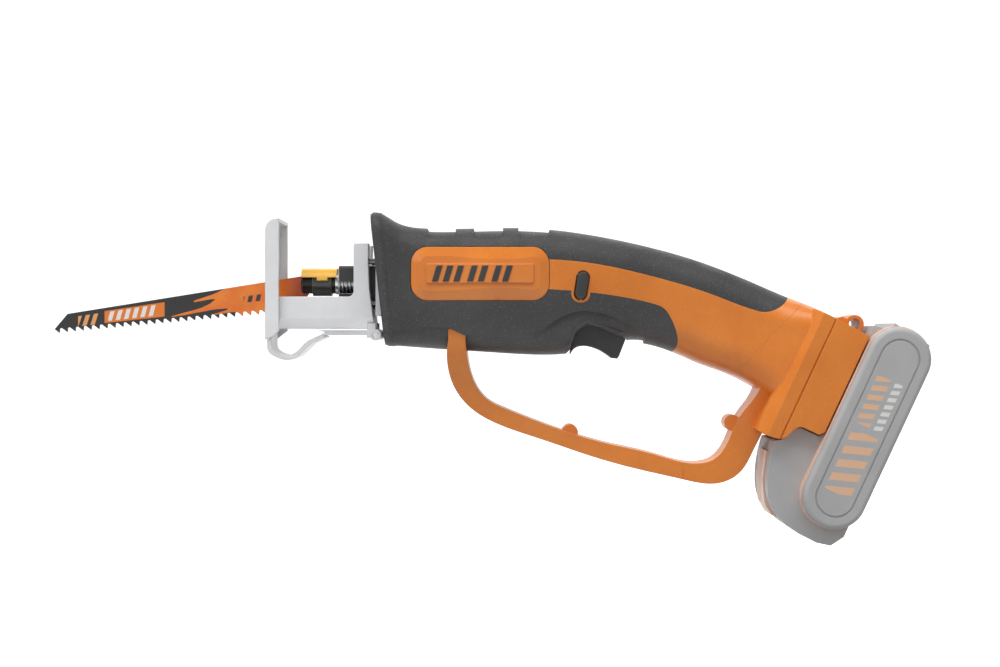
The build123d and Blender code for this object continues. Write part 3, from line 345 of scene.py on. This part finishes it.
# rows of slanted bars on a cap, in metres: (from and to along it, from and to across it), pitch, colour
CAP_BARS = [
    ((0.046, 0.080, 0.0105, 0.0250), 0.0075, (0.80, 0.50, 0.32)),
    ((0.016, 0.043, 0.0105, 0.0185), 0.0052, (0.80, 0.50, 0.32)),
    ((0.016, 0.043, 0.0205, 0.0250), 0.0040, (0.80, 0.80, 0.79)),
]


def battery_case():
    """Pale grey case; each cap's outer face carries rows of slanted bars along its length."""
    m = Recipe("battery_grey")
    axes = m.add("ShaderNodeSeparateXYZ")
    m.put(axes.inputs[0], m.where)
    x, y, z = axes.outputs["X"], axes.outputs["Y"], axes.outputs["Z"]
    dx, dz = m.math("SUBTRACT", x, BATTERY_TOP[0]), m.math("SUBTRACT", z, BATTERY_TOP[1])
    sin, cos = math.sin(math.radians(REAR_TILT)), math.cos(math.radians(REAR_TILT))
    down = m.math("MULTIPLY", m.math("ADD", m.math("MULTIPLY", dx, sin), m.math("MULTIPLY", dz, cos)), -1.0)
    out = m.math("SUBTRACT", m.math("MULTIPLY", dx, cos), m.math("MULTIPLY", dz, sin))
    face = m.ramp(m.math("ABSOLUTE", y), CAP_FACE - 0.0001, CAP_FACE + 0.0001)

    def bars(u0, u1, v0, v1, pitch):
        """Slanted bars between two places along the cap and two across it."""
        along = m.math("MULTIPLY", m.ramp(down, u0, u0 + 0.0003), m.ramp(down, u1, u1 - 0.0003))
        across = m.math("MULTIPLY", m.ramp(out, v0, v0 + 0.0003), m.ramp(out, v1, v1 - 0.0003))
        lean = m.math("ADD", down, m.math("MULTIPLY", out, 0.35))
        wave = m.ramp(m.math("SINE", m.math("MULTIPLY", lean, 2 * math.pi / pitch)), -0.25, -0.12)
        return m.math("MULTIPLY", m.math("MULTIPLY", along, across), m.math("MULTIPLY", wave, face))

    tint = m.mix(m.ramp(m.noise(38, 3), 0.35, 0.65), (0.47, 0.47, 0.475), (0.43, 0.43, 0.435))
    # paler edges: painted edge highlight and wear
    tint = m.mix(m.math("MULTIPLY", m.edges(), 0.5), tint, (0.64, 0.64, 0.64))
    for block, pitch, colour in CAP_BARS:
        tint = m.mix(bars(*block, pitch), tint, colour)
    m.bump(m.noise(1500, 2, 0.6), 0.07, 0.6)
    return m.surface(tint, m.ramp(m.noise(120, 3), 0.3, 0.7, 0.46, 0.58), 0.0, **{"Specular IOR Level": 0.35})


LOOKS["battery_grey"] = battery_case()
LOOKS["lever_yellow"] = two_shot_lever()
LOOKS["blade_paint"] = printed_blade()


def dress(obj, look, angle=32):
    """Gives a piece its material and smooth shading broken at sharp edges."""
    obj.data.materials.clear()
    obj.data.materials.append(LOOKS[look])
    with bpy.context.temp_override(
        active_object=obj, object=obj, selected_objects=[obj], selected_editable_objects=[obj]
    ):
        bpy.ops.object.shade_smooth_by_angle(angle=math.radians(angle))


for part in frame["record"]["subparts"]:
    dress(NODES[part["node"]], part["material_slot"])


# ---- pieces laid on the CAD surfaces ----
def surface_of(*names):
    """The listed nodes' faces, for finding the surface under a point."""
    corners, faces = [], []
    for name in names:
        node = NODES[name]
        start = len(corners)
        corners += [node.matrix_world @ v.co for v in node.data.vertices]
        faces += [[start + i for i in p.vertices] for p in node.data.polygons]
    return BVHTree.FromPolygons(corners, faces)


def finish_piece(name, mesh, look, body, angle=40):
    """A bmesh as an object of its own, with its look, riding a body."""
    bmesh.ops.remove_doubles(mesh, verts=mesh.verts, dist=1e-6)
    bmesh.ops.recalc_face_normals(mesh, faces=mesh.faces)
    data = bpy.data.meshes.new(name)
    mesh.to_mesh(data)
    mesh.free()
    piece = bpy.data.objects.new(name, data)
    bpy.context.scene.collection.objects.link(piece)
    dress(piece, look, angle)
    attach(piece, body)
    return piece


def side_y(tree, side, x, z, miss):
    """Where a line along Y at (x, z) first meets the surface, coming from one side."""
    hit = tree.ray_cast(Vector((x, side * 0.2, z)), Vector((0, -side, 0)))[0]
    return hit.y if hit else miss


def bars_on(name, nodes, side, bars, proud, look, body, lean):
    """Raised leaning bars that follow a side surface. A bar is (x, z, width, height) in mm."""
    wide, tall = 4, 7  # points across a bar and up it
    tree = surface_of(*nodes)
    mesh = bmesh.new()
    for x, z, width, height in bars:
        tops = []
        for i in range(wide):
            for j in range(tall):
                rise = (j / (tall - 1) - 0.5) * height
                px = (x + (i / (wide - 1) - 0.5) * width + rise * lean) * MM
                pz = (z + rise) * MM
                py = side_y(tree, side, px, pz, side * 0.03) + side * proud * MM
                tops.append(mesh.verts.new((px, py, pz)))
        lows = [mesh.verts.new((v.co.x, v.co.y - side * (proud + 0.5) * MM, v.co.z)) for v in tops]
        for i in range(wide - 1):
            for j in range(tall - 1):
                a, b, c, d = i * tall + j, i * tall + j + 1, (i + 1) * tall + j + 1, (i + 1) * tall + j
                mesh.faces.new((tops[a], tops[b], tops[c], tops[d]))
                mesh.faces.new((lows[d], lows[c], lows[b], lows[a]))
        rim = [*range(tall), *(i * tall + tall - 1 for i in range(1, wide))]
        rim += [(wide - 1) * tall + j for j in range(tall - 2, -1, -1)]
        rim += [i * tall for i in range(wide - 2, 0, -1)]
        for a, b in zip(rim, rim[1:] + rim[:1]):
            mesh.faces.new((tops[a], lows[a], lows[b], tops[b]))
    return finish_piece(name, mesh, look, body)


def ring_on(name, nodes, planes, proud, look, body, side):
    """A raised half band on one side, through slanting sections, each ((top x, z), (bottom x, z)) in mm."""
    steps = 120  # faces round the half band
    tree = surface_of(*nodes)
    mesh = bmesh.new()
    strips = []
    for k, ((xt, zt), (xb, zb)) in enumerate(planes):
        lift = -0.2 if k in (0, len(planes) - 1) else proud
        centre = Vector(((xt + xb) / 2 * MM, 0, (zt + zb) / 2 * MM))
        up = Vector((xt - xb, 0, zt - zb)).normalized()
        strip = []
        for i in range(steps + 1):
            a = math.pi * (0.004 + 0.992 * i / steps)
            out = up * math.cos(a) + Vector((0, side, 0)) * math.sin(a)
            hit = tree.ray_cast(centre + out * 0.08, -out)[0]
            spot = hit + out * lift * MM if hit else None
            if spot:
                spot.z = min(spot.z, CAD_BOX[1][2])
            strip.append(spot)
        strips.append(strip)
    for lower, upper in zip(strips, strips[1:]):
        for i in range(steps):
            quad = (lower[i], lower[i + 1], upper[i + 1], upper[i])
            if all(quad):
                mesh.faces.new([mesh.verts.new(p) for p in quad])
    return finish_piece(name, mesh, look, body, 60)


def bead_on(name, nodes, side, path, radius, look, body):
    """A round bead along (x, z) points in mm on a side surface, sunk a little into it."""
    sink, round_count, pitch = 0.35, 10, 0.8  # share of the radius, points round it, mm along it
    tree = surface_of(*nodes)
    spots = []
    for (xa, za), (xb, zb) in zip(path, path[1:]):
        count = max(2, int(math.hypot(xb - xa, zb - za) / pitch))
        spots += [(xa + (xb - xa) * i / count, za + (zb - za) * i / count) for i in range(count)]
    spots.append(path[-1])
    line = []
    last = side * 0.02
    for x, z in spots:
        last = side_y(tree, side, x * MM, z * MM, last)
        line.append(Vector((x * MM, last - side * radius * sink * MM, z * MM)))
    mesh = bmesh.new()
    rings = []
    for i, p in enumerate(line):
        along = (line[min(i + 1, len(line) - 1)] - line[max(i - 1, 0)]).normalized()
        out = Vector((0, side, 0))
        across = along.cross(out).normalized()
        out = across.cross(along).normalized()
        size = radius * MM * (0.3 if i in (0, len(line) - 1) else 1.0)
        rings.append([
            mesh.verts.new(p + (across * math.cos(a) + out * math.sin(a)) * size)
            for a in (2 * math.pi * k / round_count for k in range(round_count))
        ])
    for lower, upper in zip(rings, rings[1:]):
        for k in range(round_count):
            following = (k + 1) % round_count
            mesh.faces.new((lower[k], lower[following], upper[following], upper[k]))
    mesh.faces.new(rings[0][::-1])
    mesh.faces.new(rings[-1])
    return finish_piece(name, mesh, look, body, 70)


# ---- the trigger's coil spring, as a piece of its own in its CAD node's place ----
def stand_in(node, name, look, body):
    """A copy of a CAD node's mesh that may change shape, shown in the node's place."""
    mesh = bmesh.new()
    mesh.from_mesh(NODES[node].data)
    mesh.transform(NODES[node].matrix_world)
    piece = finish_piece(name, mesh, look, body)
    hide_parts(node)
    return piece


coil = stand_in("trigger_spring", "trigger_coil", "spring_steel", "body")
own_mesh(coil)

# ---- raised marks, lips and beads ----
# in mm: slanted bars in place of a badge, sections of the nose lip, points of the lip over the trigger
MARK = [(x, 4.1, 3.1, 8.2) for x in (72.5, 78.0, 83.5, 90.5, 96.0, 103.0, 108.5)]
NOSE_LIP = [((38.6, 35.2), (46.4, -34.2)), ((39.2, 35.2), (46.9, -34.2)), ((43.4, 35.2), (49.6, -34.4)),
            ((44.0, 35.0), (50.1, -34.4))]
ARCH_LIP = [(140.2, -33.4), (143.4, -24.6), (149.6, -20.8), (160.4, -23.5), (168.6, -26.2)]
for side, word in ((-1, "left"), (1, "right")):
    ring_on(f"{word}_nose_lip", [f"{word}_grip_overmould"], NOSE_LIP, 0.45, "grip_rubber", "body", side)
    bars_on(f"{word}_badge_mark", [f"{word}_badge_panel"], side, MARK, 0.35, "button_dark", "body", 0.30)
    bead_on(f"{word}_arch_lip", [f"{word}_grip_overmould"], side, ARCH_LIP, 0.9, "grip_rubber", "body")

# ---- stage, light and camera ----
def area_light(name, place, target, size, power):
    """A rectangular lamp at place, aimed at target."""
    lamp = bpy.data.lights.new(name, "AREA")
    lamp.shape = "RECTANGLE"
    lamp.size, lamp.size_y = size
    lamp.energy = power
    holder = bpy.data.objects.new(name, lamp)
    bpy.context.scene.collection.objects.link(holder)
    holder.location = place
    holder.rotation_euler = (Vector(target) - Vector(place)).to_track_quat("-Z", "Y").to_euler()


def make_stage(floor_z):
    """A pale floor that curves up into a backdrop."""
    half, near, far, rise, bend = 6.0, -6.0, 2.2, 4.5, 1.2
    profile = [(near, floor_z), (far - bend, floor_z)]
    for i in range(1, 17):
        a = math.pi / 2 * i / 16
        profile.append((far - bend + bend * math.sin(a), floor_z + bend - bend * math.cos(a)))
    profile.append((far, floor_z + rise))
    mesh = bmesh.new()
    rows = [[mesh.verts.new((x, y, z)) for y, z in profile] for x in (-half, half)]
    for i in range(len(profile) - 1):
        mesh.faces.new((rows[0][i], rows[1][i], rows[1][i + 1], rows[0][i + 1])).smooth = True
    data = bpy.data.meshes.new("floor")
    mesh.to_mesh(data)
    floor = bpy.data.objects.new("floor", data)
    bpy.context.scene.collection.objects.link(floor)
    m = Recipe("floor")
    tone = m.mix(m.ramp(m.noise(1.5, 2), 0.3, 0.7), (0.93, 0.93, 0.93), (0.91, 0.91, 0.91))
    floor.data.materials.append(m.surface(tone, m.ramp(m.noise(6, 2), 0.3, 0.7, 0.75, 0.85)))
    m.shader.inputs["Emission Color"].default_value = (1, 1, 1, 1)
    m.shader.inputs["Emission Strength"].default_value = 0.72
    floor.visible_diffuse = False


FLOOR_GAP = 0.03  # m under the lowest point
make_stage(CAD_BOX[0][2] - FLOOR_GAP)

CENTRE = (0.1047, 0.0, -0.0267)  # the point that the camera faces, in metres
DISTANCE, VIEW_WIDTH, SENSOR = 1.0, 0.529, 36.0  # m, m seen at that point, mm
camera_data = bpy.data.cameras.new("camera")
camera_data.sensor_width = SENSOR
camera_data.lens = SENSOR * DISTANCE / VIEW_WIDTH
camera = bpy.data.objects.new("camera", camera_data)
bpy.context.scene.collection.objects.link(camera)
camera.location = (CENTRE[0], -DISTANCE, CENTRE[2])
camera.rotation_euler = (math.pi / 2, 0, 0)
bpy.context.scene.camera = camera

area_light("key", (0.08, -0.42, 1.05), (0.12, 0, 0), (1.5, 0.5), 12.5)
area_light("softbox", (-0.70, -0.60, 0.50), (0.16, 0, -0.02), (0.7, 0.7), 3.6)
area_light("fill", (-0.1, -1.4, 0.10), (0.10, 0, -0.03), (1.0, 0.8), 1.3)
area_light("side", (1.2, -0.7, 0.35), (0.12, 0, -0.03), (0.8, 0.8), 1.2)
area_light("back", (0.2, 0.9, 0.8), (0.12, 0, -0.02), (1.2, 0.6), 3.2)
world = bpy.data.worlds.new("studio")
world.use_nodes = True
world.node_tree.nodes["Background"].inputs["Color"].default_value = (1, 1, 1, 1)
world.node_tree.nodes["Background"].inputs["Strength"].default_value = 0.30
bpy.context.scene.world = world
bpy.context.scene.view_settings.view_transform = "Standard"
